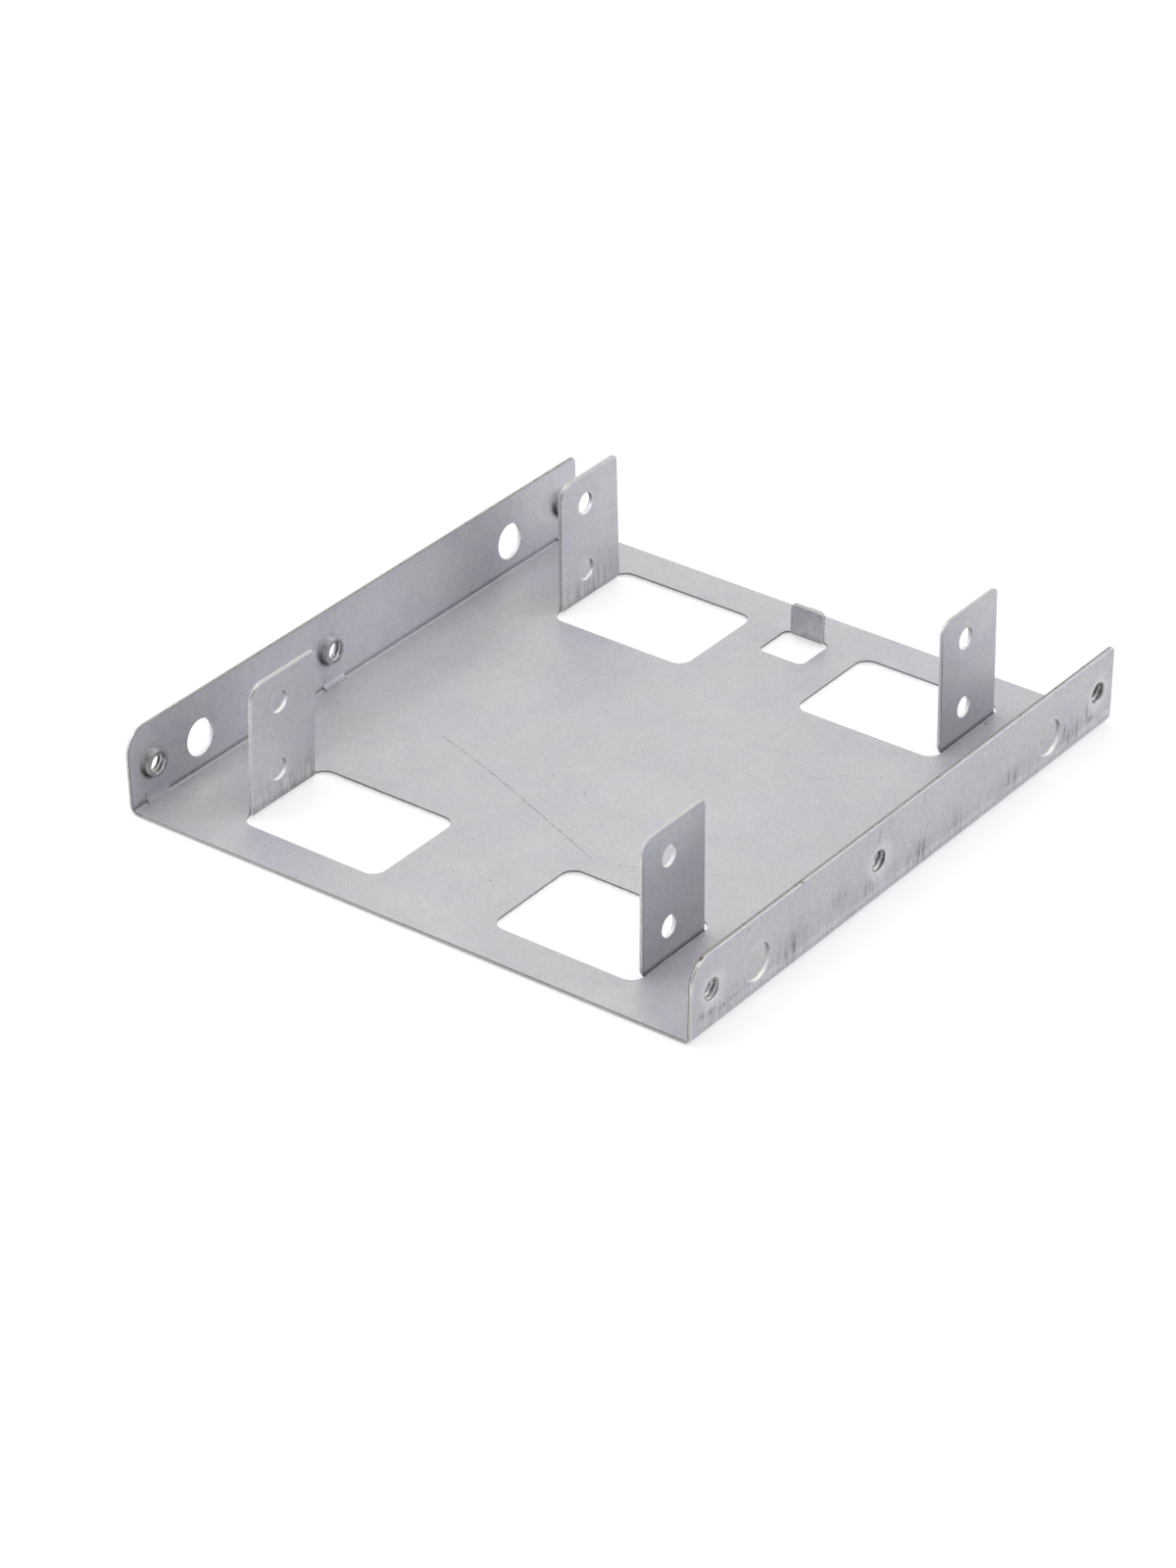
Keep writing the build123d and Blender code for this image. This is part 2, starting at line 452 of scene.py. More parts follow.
nearest = scaled(scored_line, run, share)
gap = vector_sum(scored_line, "DISTANCE", reach, nearest).outputs["Value"]
gap = work_out(scored_line, "ADD", line_wander, gap)
gap = work_out(scored_line, "DIVIDE", gap, line_width)
scored_line.links.new(ramp(scored_line, gap, 0.3, 1.0, 1.0, 0.0), end.inputs["Mask"])

# Effect: a soft-edged spot with its own reach along each axis.
spot, start, end = effect(
    "spot",
    [
        ("Place", VECTOR, (0, 0, 0)),
        ("Centre", VECTOR, (0, 0, 0)),
        ("Reach", VECTOR, (1, 1, 1)),
        ("Softness", FLOAT, 0.7),
    ],
    [("Mask", FLOAT)],
)
off_centre = vector_sum(spot, "SUBTRACT", start.outputs["Place"], start.outputs["Centre"])
off_centre = vector_sum(spot, "DIVIDE", off_centre.outputs["Vector"], start.outputs["Reach"])
off_centre = part_node(
    spot, "ShaderNodeVectorMath", {0: off_centre.outputs["Vector"]}, operation="LENGTH"
).outputs["Value"]
solid_part = work_out(spot, "SUBTRACT", 1, start.outputs["Softness"])
spot.links.new(ramp(spot, off_centre, solid_part, 1.0, 1.0, 0.0), end.inputs["Mask"])


def any_of(tree, masks):
    """The strongest of several masks."""
    strongest = masks[0]
    for mask in masks[1:]:
        strongest = work_out(tree, "MAXIMUM", strongest, mask)
    return strongest


# The rolled faces: matte zinc, rubbed in streaks where they slid over the folding die, scored
# and smudged by handling, pressed bright along the folds.
flange_from = 50  # distance from the centre line to the flanges' own faces
fold_from = 48.4  # and to the inside of their folds and collars
collar_foot = 2.25  # radius of a collar where it meets the flange
collar_outside = 2.23  # and a little way up the slope from there
darkening_reach = 3.1
crease_from_centre = 49.75  # distance from the centre line to the crease beside each fold
punch_relief = 2.5  # half the stretch of fold left soft beside each collar
soften = 0.1
plain_zinc = (0.515, 0.514, 0.522, 1)
cool_zinc = (0.489, 0.489, 0.527, 1)
rolled_zinc, tree, zinc_shader, place, grain = new_finish("rolled_zinc", 0.6)
across, along, height = part_node(
    tree, "ShaderNodeSeparateXYZ", {"Vector": place}
).outputs[:3]
skin_depth = part_node(tree, "ShaderNodeAttribute", attribute_name="through_sheet").outputs["Fac"]
outside_skin = work_out(tree, "LESS_THAN", skin_depth, 0.5)
normal = part_node(tree, "ShaderNodeNewGeometry").outputs["Normal"]
sideways, _, upward = part_node(tree, "ShaderNodeSeparateXYZ", {"Vector": normal}).outputs[:3]
steepness = work_out(tree, "ABSOLUTE", upward)
upright = work_out(tree, "LESS_THAN", steepness, 0.5)
die_side = work_out(tree, "MULTIPLY", outside_skin, upright)

# Streaks left by the die run up the outside skin from each fold and die away higher up.
streaks = clouds(tree, stretch(tree, place, 1, 1, 0.07), 1.5, 2, 0.7)
fine_streaks = clouds(tree, stretch(tree, place, 1, 1, 0.05), 3.8, 2, 0.6)
streak_field = clouds(tree, stretch(tree, place, 0.5, 1, 1.2), 0.11, 2, 0.5)
reach_up = work_out(tree, "MULTIPLY_ADD", streak_field, 9, 7.5)
rubbed = ramp(tree, work_out(tree, "DIVIDE", height, reach_up), 0.25, 1.25, 1.0, 0.0)
rubbed = work_out(tree, "MULTIPLY", rubbed, die_side)
outward = work_out(tree, "ABSOLUTE", across)
flange_side = work_out(tree, "GREATER_THAN", outward, flange_from)
by_flange = work_out(tree, "GREATER_THAN", outward, fold_from)
streak_tone = work_out(tree, "MULTIPLY", fine_streaks, 1.25)
streak_tone = work_out(tree, "MULTIPLY_ADD", streaks, 0.6, streak_tone)
dark_streak = ramp(tree, streak_tone, -0.03, 0.2)
light_streak = ramp(tree, streak_tone, -0.03, -0.25)

smudges = any_of(
    tree,
    [
        use(tree, spot, Place=place, Centre=centre, Reach=spread, Softness=0.9).outputs["Mask"]
        for centre, spread in (
            ((50.8, -19.2, 6.6), (2, 3.5, 3.0)),
            ((50.8, -31.0, 5.2), (2, 6.0, 4.2)),
            ((50.8, -11.8, 4.0), (2, 1.6, 2.2)),
            ((50.8, 2.0, 3.6), (2, 4.0, 3.0)),
            ((50.8, 11.4, 4.4), (2, 4.5, 4.0)),
            ((50.8, 26.7, 4.2), (2, 4.5, 3.6)),
            ((50.8, 43.6, 3.8), (2, 3.5, 3.0)),
            ((-35.1, -36.0, 2.6), (2, 9.0, 4.2)),
            ((-35.1, 38.0, 2.4), (2, 9.0, 4.0)),
        )
    ],
)
dirt = work_out(tree, "MULTIPLY_ADD", smudges, 0.7, 0.3)
dirt = work_out(tree, "MULTIPLY", dirt, rubbed)
dirt = work_out(tree, "MULTIPLY", dirt, work_out(tree, "MULTIPLY_ADD", dark_streak, 0.8, 0.2))
dirt = work_out(tree, "MULTIPLY", dirt, ramp(tree, outward, 4, 30, 0.4, 1.0))
dirt = work_out(tree, "MULTIPLY", dirt, work_out(tree, "MULTIPLY_ADD", flange_side, 0.45, 0.55))

# Two thin lines pressed by the die's shoulder where the flange leaves the fold.
waver = clouds(tree, stretch(tree, place, 0, 1, 0), 0.16, 2, 0.5)
line_height = work_out(tree, "MULTIPLY_ADD", waver, 0.5, height)
shoulder_lines = []
for level, thickness in ((2.15, 0.17), (2.65, 0.13)):
    away = work_out(tree, "ABSOLUTE", work_out(tree, "SUBTRACT", line_height, level))
    shoulder_lines.append(ramp(tree, away, thickness * 0.4, thickness, 1.0, 0.0))
pressed = any_of(tree, shoulder_lines)
present = ramp(tree, clouds(tree, stretch(tree, place, 0, 1, 0), 0.23, 3, 0.7), -0.2, 0.05)
present = work_out(tree, "MULTIPLY", present, ramp(tree, along, -44, -41.5, 0.15, 1.0))
pressed = work_out(tree, "MULTIPLY", pressed, present)
pressed = work_out(tree, "MULTIPLY", pressed, work_out(tree, "MULTIPLY", flange_side, die_side))

# Painted highlights: pale rings round the collars' mouths, where the sheet was drawn in, and thin
# ones round the rims of the plain holes, which the punch rolled over.
flat_place = stretch(tree, place, 0, 1, 1)
mouth_highlights = []
collars = []
feet = []
for row in thread_rows:
    mouth = part_node(tree, "ShaderNodeCombineXYZ", {"X": 0.0, "Y": row, "Z": thread_height})
    away = vector_sum(tree, "DISTANCE", flat_place, mouth.outputs["Vector"]).outputs["Value"]
    mouth_highlights.append(ramp(tree, away, 1.9, 4.0, 1.0, 0.0))
    collars.append(work_out(tree, "LESS_THAN", away, collar_outside))
    foot = ramp(tree, away, collar_foot, darkening_reach, 1.0, 0.0)
    lower = work_out(tree, "MULTIPLY", work_out(tree, "SUBTRACT", along, row), 0.55)
    lower = work_out(tree, "ADD", lower, work_out(tree, "SUBTRACT", height, thread_height))
    feet.append(work_out(tree, "MULTIPLY", foot, ramp(tree, lower, -2.3, 0.4, 1.0, 0.1)))
mouth_highlight = work_out(tree, "MULTIPLY", any_of(tree, mouth_highlights), flange_side)
mouth_highlight = work_out(tree, "MULTIPLY", mouth_highlight, outside_skin)
hole_rim_highlights = []
for row in drive_rows:
    for level in drive_heights:
        hole = part_node(tree, "ShaderNodeCombineXYZ", {"X": 0.0, "Y": row, "Z": level})
        away = vector_sum(tree, "DISTANCE", flat_place, hole.outputs["Vector"]).outputs["Value"]
        wider = access_hole_radius - drive_hole_radius
        hole_radius = work_out(tree, "MULTIPLY_ADD", by_flange, wider, drive_hole_radius)
        past_rim = work_out(tree, "SUBTRACT", away, hole_radius)
        hole_rim_highlights.append(ramp(tree, past_rim, 0.05, 0.3, 1.0, 0.0))
hole_rim_highlight = work_out(tree, "MULTIPLY", any_of(tree, hole_rim_highlights), die_side)

# The inside of each fold: where the punch bore hard, painted shadow darkens the crease on the wall
# side and a painted highlight runs along the floor side; beside the collars, where it was
# relieved, the fold is soft and plain.
soft_stretches = []
for row in thread_rows:
    away = work_out(tree, "ABSOLUTE", work_out(tree, "SUBTRACT", along, row + relief_lag))
    soft_stretches.append(
        ramp(tree, away, punch_relief - soften, punch_relief + soften, 1.0, 0.0)
    )
soft = work_out(tree, "MULTIPLY", any_of(tree, soft_stretches), by_flange)
struck = work_out(tree, "SUBTRACT", 1, soft)
inside_skin = work_out(tree, "SUBTRACT", 1, outside_skin)
struck_inside = work_out(tree, "MULTIPLY", struck, inside_skin)
over_floor = work_out(tree, "GREATER_THAN", height, sheet + 0.06)
crease_shadow = work_out(tree, "MULTIPLY", ramp(tree, height, 0.85, 1.7, 1.0, 0.0), over_floor)
crease_shadow = work_out(tree, "MULTIPLY", crease_shadow, struck_inside)
beside_fold = work_out(tree, "ABSOLUTE", work_out(tree, "SUBTRACT", outward, crease_from_centre))
below_wall = work_out(tree, "LESS_THAN", height, sheet + 0.15)
crease_highlight = work_out(tree, "MULTIPLY", ramp(tree, beside_fold, 0.1, 0.28, 1.0, 0.0), below_wall)
crease_highlight = work_out(tree, "MULTIPLY", crease_highlight, struck_inside)
# Painted shade in the bends: on the soft stretches beside the collars, inside the tabs' bends, and
# on the tabs' outside feet, which face down.
bent = ramp(tree, steepness, 0.95, 0.999, 1.0, 0.0)
bent = work_out(tree, "MULTIPLY", ramp(tree, steepness, 0.3, 0.6), bent)
bent = work_out(tree, "MULTIPLY", bent, inside_skin)
soft_bend_shade = work_out(tree, "MULTIPLY", bent, soft)
away_from_flange = work_out(tree, "SUBTRACT", 1, by_flange)
tab_bend_shade = work_out(tree, "MULTIPLY", bent, away_from_flange)
foot_edge = work_out(tree, "MULTIPLY_ADD", clouds(tree, place, 0.9, 3, 0.7), 2.4, height)
tab_foot_shade = work_out(tree, "MULTIPLY", ramp(tree, foot_edge, 0.7, 2.3, 1.0, 0.0), outside_skin)
tab_foot_shade = work_out(tree, "MULTIPLY", tab_foot_shade, ramp(tree, steepness, 0.9, 0.98, 1.0, 0.0))
tab_foot_shade = work_out(tree, "MULTIPLY", tab_foot_shade, away_from_flange)

# The collars: pale sleeves with a dark cut end, and darkening round the foot of each, most of it
# underneath and in front.
collar = work_out(tree, "MULTIPLY", any_of(tree, collars), by_flange)
collar = work_out(tree, "MULTIPLY", collar, inside_skin)
cut_end = work_out(tree, "GREATER_THAN", work_out(tree, "ABSOLUTE", sideways), 0.8)
collar_end_ring = work_out(tree, "MULTIPLY", collar, cut_end)
sleeve = work_out(tree, "SUBTRACT", collar, collar_end_ring)
foot_darkening = work_out(tree, "MULTIPLY", flange_side, inside_skin)
foot_darkening = work_out(tree, "MULTIPLY", any_of(tree, feet), foot_darkening)

# What handling and the years have left: scored lines in the floor and on the flanges, and specks
# of dirt.
wander = work_out(tree, "MULTIPLY", clouds(tree, place, 0.5, 2, 0.5), 0.5)
scores = any_of(
    tree,
    [
        use(
            tree, scored_line, Place=place, From=first, To=last, Width=width, Wander=wander
        ).outputs["Mask"]
        for first, last, width in (
            ((-27.0, -10.4, 0.7), (-15.1, -14.3, 0.7), 0.20),
            ((-15.1, -14.3, 0.7), (-2.3, -19.3, 0.7), 0.22),
            ((-2.3, -19.3, 0.7), (11.5, -24.9, 0.7), 0.18),
            ((-46.5, -11.9, 0.7), (-45.7, -12.4, 0.7), 0.24),
            ((-40.75, -12.0, 0.7), (-38.9, -10.95, 0.7), 0.22),
            ((24.1, 12.2, 0.7), (28.9, 18.0, 0.7), 0.12),
            ((15.8, -24.0, 0.7), (23.1, -20.5, 0.7), 0.25),
            ((17.0, -25.0, 0.7), (21.0, -22.0, 0.7), 0.15),
            ((-50.1, 18.0, 9.0), (-50.1, 20.5, 8.3), 0.22),
            ((50.8, 54.7, 11.2), (50.8, 54.2, 9.6), 0.22),
            ((50.8, 54.2, 9.6), (50.8, 53.0, 8.7), 0.20),
        )
    ],
)
breaks = ramp(tree, clouds(tree, place, 1.7, 2, 0.7), -0.12, 0.1)
scores = work_out(tree, "MULTIPLY", scores, breaks)
specks = any_of(
    tree,
    [
        use(tree, spot, Place=place, Centre=centre, Reach=spread, Softness=0.5).outputs["Mask"]
        for centre, spread in (
            ((0.0, -10.9, 0.7), (0.25, 0.25, 0.3)),
            ((35.8, -32.1, 17.6), (0.4, 0.25, 0.4)),
            ((35.8, -31.8, 18.3), (0.4, 0.15, 0.25)),
            ((-49.9, -49.7, 2.4), (0.5, 0.25, 0.25)),
            ((-50.1, -52.15, 2.1), (0.6, 0.2, 0.6)),
            ((-50.1, -10.2, 2.0), (0.6, 0.2, 0.55)),
            ((-49.2, -42.4, 0.7), (0.3, 0.25, 0.4)),
            ((-46.8, -45.0, 0.7), (0.25, 0.2, 0.4)),
            ((-47.6, -51.2, 0.7), (0.25, 0.2, 0.4)),
            ((-47.6, -54.3, 0.7), (0.25, 0.2, 0.4)),
            ((-35.1, -33.2, 19.2), (0.5, 0.2, 0.2)),
            ((-48.7, -31.2, 0.7), (0.32, 0.26, 0.4)),
            ((-6.9, -9.5, 0.7), (0.2, 0.3, 0.3)),
            ((3.5, -38.6, 0.7), (0.25, 0.25, 0.3)),
            ((36.5, 42.4, 0.7), (0.42, 0.36, 0.3)),
            ((20.4, -9.7, 0.7), (0.2, 0.2, 0.3)),
            ((-39.7, 13.7, 0.7), (0.35, 0.2, 0.3)),
            ((-50.1, 18.8, 11.4), (0.3, 0.25, 0.25)),
            ((-50.1, -15.2, 5.7), (0.3, 0.2, 0.25)),
            ((50.8, -41.9, 12.4), (0.3, 0.2, 0.5)),
            ((50.8, 2.8, 11.7), (0.3, 0.15, 0.4)),
        )
    ],
)

# Broad pools of painted light, and small places where grease has stained the coat dark.
painted_light_pools = any_of(
    tree,
    [
        use(tree, spot, Place=place, Centre=centre, Reach=spread, Softness=1.0).outputs["Mask"]
        for centre, spread in (
            ((-50.4, -18.0, 7.0), (3, 22, 12)),
            ((-50.4, 3.0, 7.0), (3, 22, 12)),
            ((-50.4, 21.0, 7.0), (3, 22, 12)),
            ((-50.4, 40.0, 7.0), (3, 22, 12)),
            ((35.8, -38.2, 21.0), (3, 12, 12)),
            ((35.8, 38.4, 16.0), (3, 12, 14)),
            ((-48.6, -51.0, 0.7), (4, 7, 1.5)),
            ((-49.0, -50.0, 0.7), (3, 5, 1.5)),
        )
    ],
)
stains = any_of(
    tree,
    [
        use(tree, spot, Place=place, Centre=centre, Reach=spread, Softness=0.9).outputs["Mask"]
        for centre, spread in (
            ((50.8, 47.9, 5.0), (0.6, 0.7, 2.2)),
            ((50.8, 49.2, 3.6), (0.6, 1.6, 0.9)),
            ((50.8, 41.6, 4.9), (0.6, 0.6, 2.0)),
            ((-50.0, -53.3, 1.4), (0.8, 1.3, 0.7)),
            ((50.8, -53.0, 3.9), (0.6, 1.0, 0.8)),
            ((50.8, -50.6, 3.6), (0.6, 1.7, 0.6)),
            ((50.8, -47.6, 3.0), (0.6, 1.8, 0.9)),
            ((50.8, -45.2, 3.2), (0.6, 1.5, 0.5)),
            ((50.8, -8.9, 11.3), (0.6, 0.5, 1.6)),
        )
    ],
)
uneven = ramp(tree, clouds(tree, place, 1.1, 3, 0.7), -0.2, 0.1)
stains = work_out(tree, "MULTIPLY", stains, uneven)

# Painted shade: the right flange's outside and the lower halves of the tabs' drive faces are a
# little darker.
right_outside_shade = work_out(tree, "GREATER_THAN", across, flange_from)
right_outside_shade = work_out(tree, "MULTIPLY", die_side, right_outside_shade)
tab_low_shade = work_out(tree, "MULTIPLY", die_side, away_from_flange)
tab_low_shade = work_out(tree, "MULTIPLY", tab_low_shade, ramp(tree, height, 3, 13, 1.0, 0.0))

# All of them together set how pale the coat is at a place, and some how glossy and how high.
tone = work_out(tree, "MULTIPLY_ADD", dirt, -0.7, grain.outputs["Tone"])
light_rub = work_out(tree, "MULTIPLY", light_streak, rubbed)
tone = work_out(tree, "MULTIPLY_ADD", light_rub, 0.06, tone)
tone = work_out(tree, "MULTIPLY_ADD", pressed, 0.28, tone)
for mask, change in (
    (stains, -0.38),
    (mouth_highlight, 0.2),
    (hole_rim_highlight, 0.16),
    (crease_shadow, -0.55),
    (crease_highlight, 0.16),
    (soft_bend_shade, -0.3),
    (tab_foot_shade, -0.3),
    (tab_bend_shade, -0.3),
    (sleeve, 0.12),
    (collar_end_ring, -0.3),
    (foot_darkening, -0.85),
    (painted_light_pools, 0.13),
    (right_outside_shade, -0.07),
    (tab_low_shade, -0.1),
):
    tone = work_out(tree, "MULTIPLY_ADD", mask, change, tone)
tone = work_out(tree, "MULTIPLY_ADD", scores, -0.3, tone)
tone = work_out(tree, "MULTIPLY_ADD", specks, -0.45, tone)
coat = blend(tree, grain.outputs["Cool patch"], plain_zinc, cool_zinc)
tree.links.new(scaled(tree, coat, tone), zinc_shader.inputs["Base Color"])
gloss = work_out(tree, "MULTIPLY_ADD", grain.outputs["Tone"], -0.15, 0.66)
gloss = work_out(tree, "MULTIPLY_ADD", pressed, -0.12, gloss)
gloss = work_out(tree, "MULTIPLY_ADD", rubbed, -0.05, gloss)
tree.links.new(gloss, zinc_shader.inputs["Roughness"])
relief = work_out(tree, "MULTIPLY_ADD", streaks, rubbed, grain.outputs["Height"])
relief = work_out(tree, "MULTIPLY_ADD", pressed, 2.0, relief)
relief = work_out(tree, "MULTIPLY_ADD", scores, -2.0, relief)
roughen(tree, zinc_shader, 0.8, 0.04, relief)

# The sheared edges: a bright rolled-over rim on the outside skin, polished and with a painted
# highlight, a pale burnished band, then the darker torn part and a painted shadow line along the
# burr at the inside skin.
front_edge = -55.2
rim_polish_and_highlight = (0.62, 0.62, 0.625, 1)
burnished_steel = (0.50, 0.49, 0.47, 1)
torn_steel = (0.43, 0.415, 0.395, 1)
flange_edge_low = (0.55, 0.54, 0.515, 1)
flange_edge_highlight = (0.72, 0.71, 0.68, 1)
tab_edge = (0.74, 0.73, 0.70, 1)
torn_top = (0.37, 0.36, 0.34, 1)
burr_shadow_brown = (0.155, 0.135, 0.115, 1)
under_rim_brown = (0.30, 0.285, 0.27, 1)
window_bright = (0.92, 0.92, 0.91, 1)
window_torn = (0.27, 0.27, 0.27, 1)
pit_brown = (0.17, 0.135, 0.11, 1)
chip_brown = (0.14, 0.105, 0.09, 1)

# Effect: how deep a place lies in a sheared wall, made ragged as the sheet tears.
ragged_depth, start, end = effect(
    "ragged depth", [("Place", VECTOR, (0, 0, 0)), ("Depth", FLOAT, 0)], [("Depth", FLOAT)]
)
tearing = clouds(ragged_depth, start.outputs["Place"], 1.1, 3, 0.7)
tearing = work_out(ragged_depth, "MULTIPLY_ADD", tearing, 0.22, start.outputs["Depth"])
ragged_depth.links.new(tearing, end.inputs["Depth"])

sheared_edge, tree, edge_shader, place, grain = new_finish("sheared_edge", 0.8, 1.2)
depth = part_node(tree, "ShaderNodeAttribute", attribute_name="through_sheet").outputs["Fac"]
ragged = use(tree, ragged_depth, Place=place, Depth=depth).outputs["Depth"]
rim_across, rim_along, rim_height = part_node(
    tree, "ShaderNodeSeparateXYZ", {"Vector": place}
).outputs[:3]
burnished = blend(tree, ramp(tree, ragged, 0.12, 0.3), rim_polish_and_highlight, burnished_steel)
torn = blend(tree, ramp(tree, ragged, 0.5, 0.75), burnished, torn_steel)

# The uprights' edges are paler than the floor's, and the flanges' top rims are torn darker.
rim_outward = work_out(tree, "ABSOLUTE", rim_across)
by_flange = work_out(tree, "GREATER_THAN", rim_outward, fold_from)
flange_top_rim = ramp(tree, rim_height, 13.6, 13.7, 1.0, 0.0)
flange_top_rim = work_out(tree, "MULTIPLY", ramp(tree, rim_height, 12.7, 13.25), flange_top_rim)
flange_top_rim = work_out(tree, "MULTIPLY", flange_top_rim, by_flange)
past_fold = ramp(tree, rim_height, 1.4, 2.4, 0.0, 0.85)
upright_edge = work_out(tree, "SUBTRACT", past_fold, flange_top_rim, clamp=True)
# Higher up, the flanges' edges are paler: a painted highlight where their rounded corners face up.
flange_edge_with_highlight = blend(tree, ramp(tree, rim_height, 7, 10), flange_edge_low, flange_edge_highlight)
upright_tone = blend(tree, by_flange, tab_edge, flange_edge_with_highlight)
torn = blend(tree, upright_edge, torn, upright_tone)
top_tear = work_out(tree, "MULTIPLY", flange_top_rim, ramp(tree, ragged, 0.2, 0.4))
top_tear = work_out(tree, "MULTIPLY", top_tear, ramp(tree, rim_along, 20, 45, 1.0, 0.5))
torn = blend(tree, top_tear, torn, torn_top)

# The painted shadow line along the burr is faint on the left tabs, which have a thin painted shade
# under the rim instead.
by_tab = work_out(tree, "SUBTRACT", 1, by_flange)
left_tab = work_out(tree, "MULTIPLY", by_tab, work_out(tree, "LESS_THAN", rim_across, 0))
burr_shadow = work_out(tree, "MULTIPLY_ADD", left_tab, -0.9, 1)
burr_shadow = work_out(tree, "MULTIPLY", burr_shadow, ramp(tree, rim_height, 18.5, 20.5, 1.0, 0.3))
burr_shadow = work_out(tree, "MULTIPLY", burr_shadow, ramp(tree, ragged, 0.80, 0.92))
edge_with_burr_shadow = blend(tree, burr_shadow, torn, burr_shadow_brown)
under_rim = work_out(tree, "ABSOLUTE", work_out(tree, "SUBTRACT", ragged, 0.22))
under_rim = work_out(tree, "MULTIPLY", ramp(tree, under_rim, 0.03, 0.12, 0.7, 0.0), left_tab)
edge_with_burr_shadow = blend(tree, under_rim, edge_with_burr_shadow, under_rim_brown)

# The windows' edges: burnished bright below, torn dark above.
in_floor = ramp(tree, rim_height, sheet + 0.01, sheet + 0.03, 1.0, 0.0)
window_edge = work_out(tree, "MULTIPLY", by_tab, in_floor)
behind_front = work_out(tree, "GREATER_THAN", rim_along, front_edge + 0.6)
window_edge = work_out(tree, "MULTIPLY", window_edge, behind_front)
window_wall = blend(tree, ramp(tree, ragged, 0.4, 0.6), window_bright, window_torn)
edge_with_burr_shadow = blend(tree, window_edge, edge_with_burr_shadow, window_wall)

# Dirt and a little rust in the tears of the flanges' rims, most of it on the left one's front
# edge and least on the right one's, and one rusty chip on the right one's corner.
pits = ramp(tree, clouds(tree, place, 1.3, 3, 0.7), 0.03, 0.14)
pits = work_out(tree, "MULTIPLY", pits, ramp(tree, ragged, 0.35, 0.55))
pits = work_out(tree, "MULTIPLY", pits, work_out(tree, "MULTIPLY_ADD", by_flange, 0.55, 0.1))
right_front = ramp(tree, rim_along, -52, -54)
right_front = work_out(tree, "MULTIPLY", ramp(tree, rim_across, 48, 49), right_front)
pits = work_out(tree, "MULTIPLY", pits, work_out(tree, "MULTIPLY_ADD", right_front, -0.75, 1))
left_front = ramp(tree, rim_along, -51, -54)
left_front = work_out(tree, "MULTIPLY", ramp(tree, rim_across, -48, -49), left_front)
left_front = work_out(tree, "MULTIPLY", left_front, ramp(tree, ragged, 0.62, 0.85, 0.0, 0.85))
pits = work_out(tree, "MAXIMUM", pits, left_front)
edge_with_burr_shadow = blend(tree, pits, edge_with_burr_shadow, pit_brown)
chip = use(
    tree, spot, Place=place, Centre=(50.5, -52.6, 13.0), Reach=(1, 0.7, 0.7), Softness=0.7
).outputs["Mask"]
chip = work_out(tree, "MULTIPLY", chip, ramp(tree, ragged, 0.15, 0.4))
edge_with_burr_shadow = blend(tree, chip, edge_with_burr_shadow, chip_brown)

# The tabs' and the stop's top rims are duller.
by_middle = ramp(tree, rim_outward, 3.5, 4.0, 1.0, 0.0)
on_stop = work_out(tree, "MULTIPLY", by_middle, ramp(tree, rim_height, 1.5, 2.5))
tab_rims = ramp(tree, rim_height, 19.5, 22.0, 1.0, 0.84)
tone = work_out(tree, "MULTIPLY", grain.outputs["Tone"], tab_rims)
tone = work_out(tree, "MULTIPLY", tone, work_out(tree, "MULTIPLY_ADD", on_stop, -0.25, 1))
tree.links.new(scaled(tree, edge_with_burr_shadow, tone), edge_shader.inputs["Base Color"])
tree.links.new(ramp(tree, ragged, 0.1, 0.8, 0.46, 0.65), edge_shader.inputs["Roughness"])
roughen(tree, edge_shader, 0.5, 0.04, clouds(tree, place, 4.0, 3, 0.7))

# The walls of the plain holes, burnished bright by the punch for most of their depth, with painted
# shade on their upper halves, which face down.
wall_bright = (0.82, 0.81, 0.79, 1)
wall_torn = (0.54, 0.52, 0.50, 1)
punched_wall, tree, wall_shader, place, grain = new_finish("punched_wall", 0.6)
depth = part_node(tree, "ShaderNodeAttribute", attribute_name="through_sheet").outputs["Fac"]
ragged = use(tree, ragged_depth, Place=place, Depth=depth).outputs["Depth"]
wall = blend(tree, ramp(tree, ragged, 0.7, 0.95), wall_bright, wall_torn)
normal = part_node(tree, "ShaderNodeNewGeometry").outputs["Normal"]
facing_up = part_node(tree, "ShaderNodeSeparateXYZ", {"Vector": normal}).outputs[2]
downward_shade = ramp(tree, facing_up, -0.6, 0.35, 0.45, 1.0)
tone = work_out(tree, "MULTIPLY", grain.outputs["Tone"], downward_shade)
tree.links.new(scaled(tree, wall, tone), wall_shader.inputs["Base Color"])
tree.links.new(ramp(tree, ragged, 0.5, 0.9, 0.42, 0.6), wall_shader.inputs["Roughness"])
dragged = clouds(tree, stretch(tree, place, 0.4, 1, 1), 3.5, 2, 0.6)
roughen(tree, wall_shader, 0.3, 0.03, dragged)

# The tapped bores: bare steel, darkened in patches with cutting oil, with a painted highlight
# along the thread crests.
bare_steel = (0.33, 0.32, 0.305, 1)
oiled_steel = (0.195, 0.175, 0.16, 1)
crest_highlight_steel = (0.57, 0.56, 0.545, 1)
tapped_steel, tree, tap_shader, place, grain = new_finish("tapped_steel", 1.0, 1.6)
stain = ramp(tree, clouds(tree, place, 0.8, 3, 0.6), -0.1, 0.15)
tapped = blend(tree, stain, bare_steel, oiled_steel)
ridge_height = part_node(tree, "ShaderNodeAttribute", attribute_name="crest").outputs["Fac"]
tapped = blend(tree, ramp(tree, ridge_height, 0.3, 0.9, 0.0, 0.8), tapped, crest_highlight_steel)
tree.links.new(scaled(tree, tapped, grain.outputs["Tone"]), tap_shader.inputs["Base Color"])
tree.links.new(ramp(tree, stain, 0.0, 1.0, 0.32, 0.5), tap_shader.inputs["Roughness"])
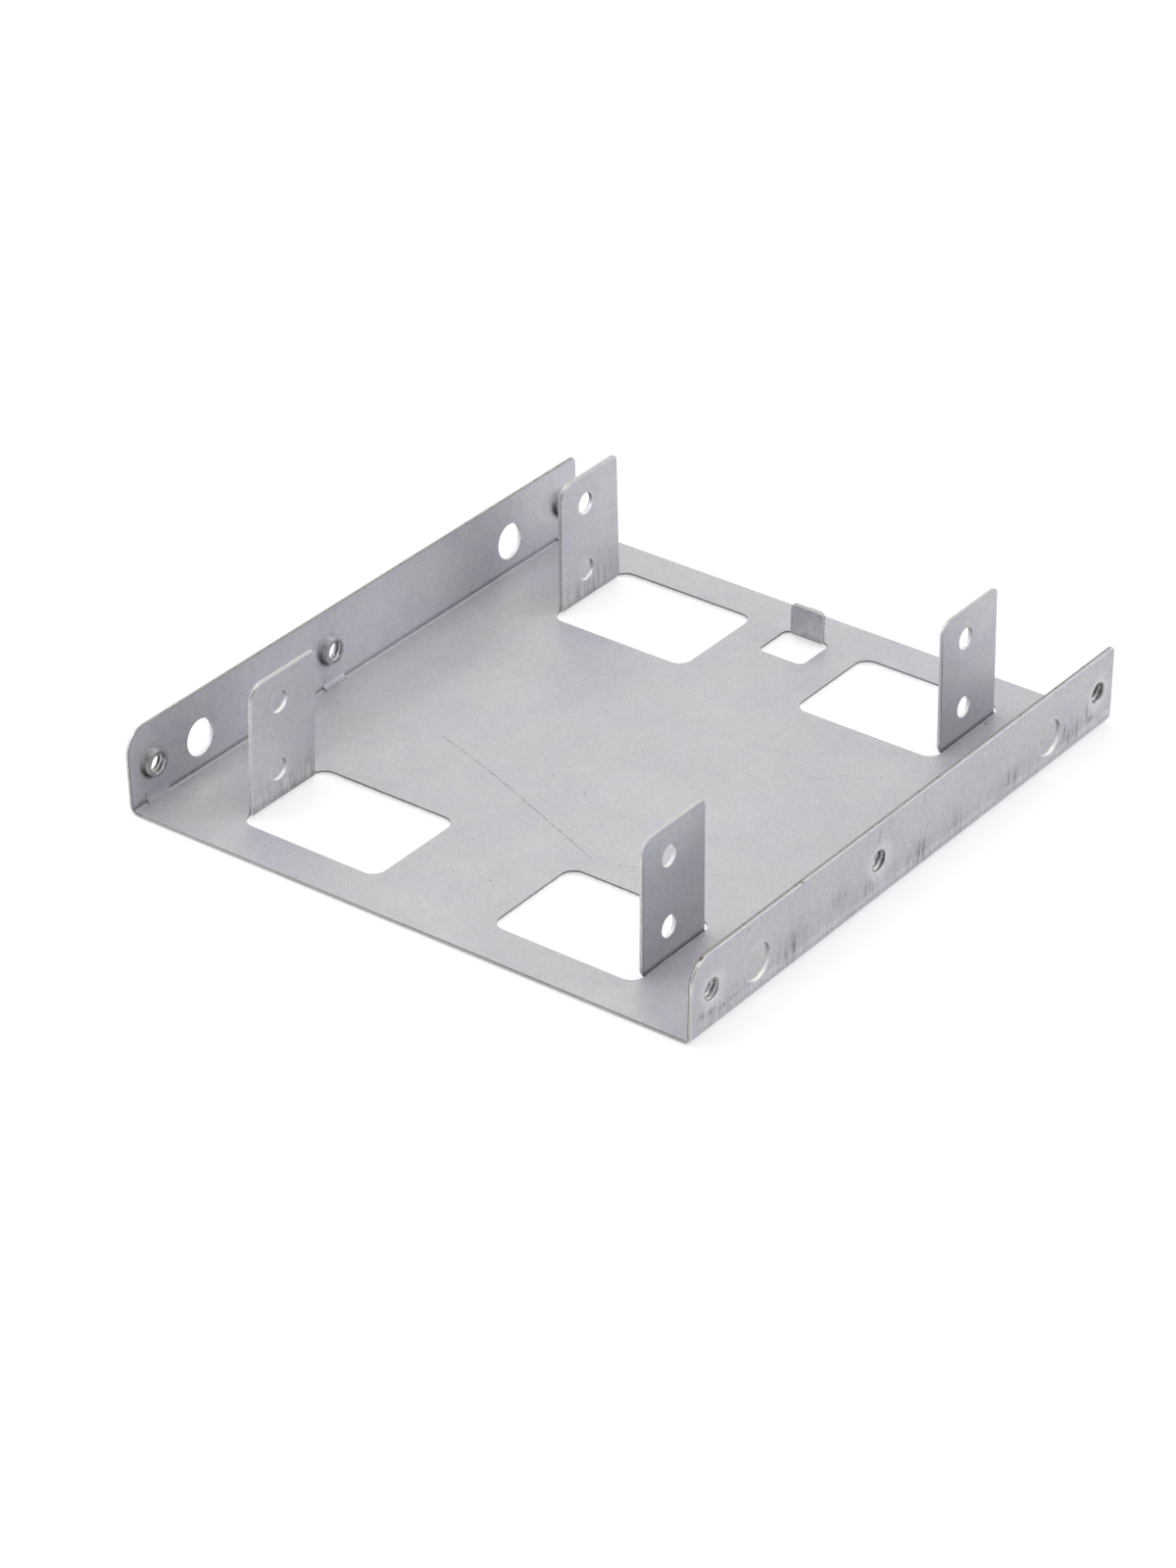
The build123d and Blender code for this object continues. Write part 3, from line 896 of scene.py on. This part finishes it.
chatter = clouds(tree, stretch(tree, place, 3, 1, 1), 2.2, 2, 0.6)
roughen(tree, tap_shader, 0.4, 0.03, chatter)

for finish in (rolled_zinc, sheared_edge, tapped_steel, punched_wall):
    sheet_mesh.materials.append(finish)

# The screw threads: a number 6 thread of 32 turns to the inch, right-handed, tapped through each
# collar after it was drawn. Each is the ridge that the tap leaves standing between two passes.
pitch = 0.794
crest_radius = 1.48
root_radius = 1.77  # sunk a little into the bore's wall
ridge_profile = (
    (-0.36, root_radius),
    (-0.08, crest_radius),
    (0.08, crest_radius),
    (0.36, root_radius),
)
stations_a_turn = 48
first_depth = 0.33  # how far the thread starts from the flange's outside skin
end_clear = 0.01  # how far the thread stops short of the collar's cut end
last_depth = sheet + collar_end - end_clear
start_turns = (0.1, 0.45, 0.8, 0.3, 0.65, 0.95)

threads = bmesh.new()
threads.verts.layers.float.new("crest")
bores = [(side, row) for side in (-1, 1) for row in thread_rows]
for (side, row), start_turn in zip(bores, start_turns):
    ends = sorted((side * (half_width - first_depth), side * (half_width - last_depth)))
    ridge = bmesh.new()
    ridge_crest = ridge.verts.layers.float.new("crest")
    rings = []
    whole_run = ends[1] - ends[0] + 2 * pitch
    for station in range(int(whole_run / pitch * stations_a_turn) + 1):
        turn = station / stations_a_turn
        angle = 2 * math.pi * (turn + start_turn)
        ring = []
        for offset, radius in ridge_profile:
            corner = (
                ends[0] - pitch + turn * pitch + offset,
                row + radius * math.cos(angle),
                thread_height + radius * math.sin(angle),
            )
            point = ridge.verts.new(corner)
            point[ridge_crest] = 1 if radius == crest_radius else 0
            ring.append(point)
        rings.append(ring)
    for ring, following in zip(rings, rings[1:]):
        for index in range(len(ring)):
            beside = (index + 1) % len(ring)
            ridge.faces.new((ring[index], ring[beside], following[beside], following[index]))
    ridge.faces.new(rings[0])
    ridge.faces.new(rings[-1])
    for end_place, facing in ((ends[0], -1), (ends[1], 1)):
        trimmed = bmesh.ops.bisect_plane(
            ridge,
            geom=list(ridge.verts) + list(ridge.edges) + list(ridge.faces),
            plane_co=(end_place, 0, 0),
            plane_no=(facing, 0, 0),
            clear_outer=True,
        )
        loops = [part for part in trimmed["geom_cut"] if isinstance(part, bmesh.types.BMEdge)]
        bmesh.ops.holes_fill(ridge, edges=loops)
    bmesh.ops.recalc_face_normals(ridge, faces=ridge.faces)
    one_thread = bpy.data.meshes.new("one_thread")
    ridge.to_mesh(one_thread)
    ridge.free()
    threads.from_mesh(one_thread)
    bpy.data.meshes.remove(one_thread)
for point in threads.verts:
    spring_back(point.co)
bmesh.ops.scale(threads, verts=threads.verts, vec=(MM, MM, MM))
thread_mesh = bpy.data.meshes.new("bay_screw_threads")
threads.to_mesh(thread_mesh)
threads.free()
thread_mesh.materials.append(tapped_steel)
bay_screw_threads = bpy.data.objects.new("bay_screw_threads", thread_mesh)
bpy.context.collection.objects.link(bay_screw_threads)
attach(bay_screw_threads, "root")
